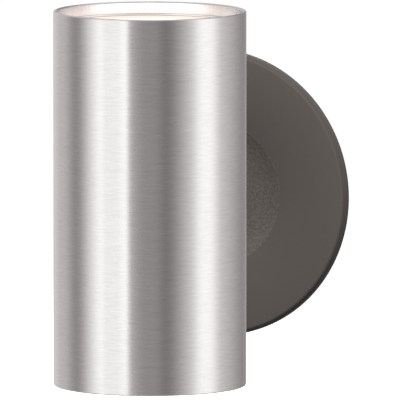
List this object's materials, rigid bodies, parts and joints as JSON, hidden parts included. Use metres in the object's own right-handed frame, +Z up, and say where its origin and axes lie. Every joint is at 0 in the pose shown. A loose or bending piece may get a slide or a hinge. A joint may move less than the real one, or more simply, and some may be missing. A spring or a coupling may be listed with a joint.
{
  "type": "tube wall light",
  "caption": "Upright brushed tube, open and glazed at both ends, held off a round dished wall plate by a short stem, with a strap for a wall box.",
  "frame": {"origin": "middle of the wall plate's wall side, on the stem's axis, in the wall's plane", "axes": "+Z up along the tube, +Y into the wall, -Y into the room, +X to the right as seen from the room"},
  "size_m": [0.115, 0.1252, 0.1485],
  "materials": {
    "brushed_tube": "brushed round the tube, satin nickel tone, clear lacquer",
    "bronze_coat": "dark bronze powder coat, satin",
    "zinc_steel": "bright zinc plate",
    "screw_steel": "zinc-plated machine screws",
    "black_steel": "black oxide",
    "earth_green": "green lacquered steel",
    "frosted_glass": "frosted on both faces",
    "spring_wire": "bright drawn spring wire",
    "silicone": "white silicone",
    "bright_reflector": "bright anodised, satin",
    "board_white": "white solder mask on a metal core",
    "phosphor": "yellow phosphor on a white base",
    "connector_white": "moulded nylon",
    "sink_aluminium": "die-cast, blasted",
    "driver_case": "moulded case, potted",
    "clamp_brass": "turned brass",
    "lead_red": "silicone insulation",
    "lead_black": "silicone insulation",
    "lead_white": "silicone insulation",
    "lead_green": "silicone insulation"
  },
  "bodies": {
    "root": {"tube_body": "brushed_tube", "wall_plate": "bronze_coat", "stem": "bronze_coat", "plate_screws": "bronze_coat", "mounting_strap": "zinc_steel", "nipple": "zinc_steel", "lock_washer": "zinc_steel", "rear_nut": "zinc_steel", "front_nut": "zinc_steel", "inner_saddle": "zinc_steel", "driver_bracket": "zinc_steel", "stem_pins": "zinc_steel", "upper_board_screws": "screw_steel", "lower_board_screws": "screw_steel", "bracket_screws": "screw_steel", "driver_screws": "screw_steel", "block_screw": "screw_steel", "tube_grub_screws": "black_steel", "ground_screw": "earth_green", "upper_lens": "frosted_glass", "lower_lens": "frosted_glass", "upper_lens_ring": "spring_wire", "lower_lens_ring": "spring_wire", "upper_lens_gasket": "silicone", "lower_lens_gasket": "silicone", "upper_reflector": "bright_reflector", "lower_reflector": "bright_reflector", "upper_led_board": "board_white", "lower_led_board": "board_white", "upper_emitter": "phosphor", "lower_emitter": "phosphor", "upper_connector": "connector_white", "lower_connector": "connector_white", "nipple_bushings": "connector_white", "terminal_block": "connector_white", "upper_heat_sink": "sink_aluminium", "lower_heat_sink": "sink_aluminium", "driver": "driver_case", "clamp_screws": "clamp_brass", "upper_positive_lead": "lead_red", "lower_positive_lead": "lead_red", "upper_negative_lead": "lead_black", "lower_negative_lead": "lead_black", "line_lead": "lead_black", "neutral_lead": "lead_white", "earth_lead": "lead_green"}
  },
  "joints": []
}
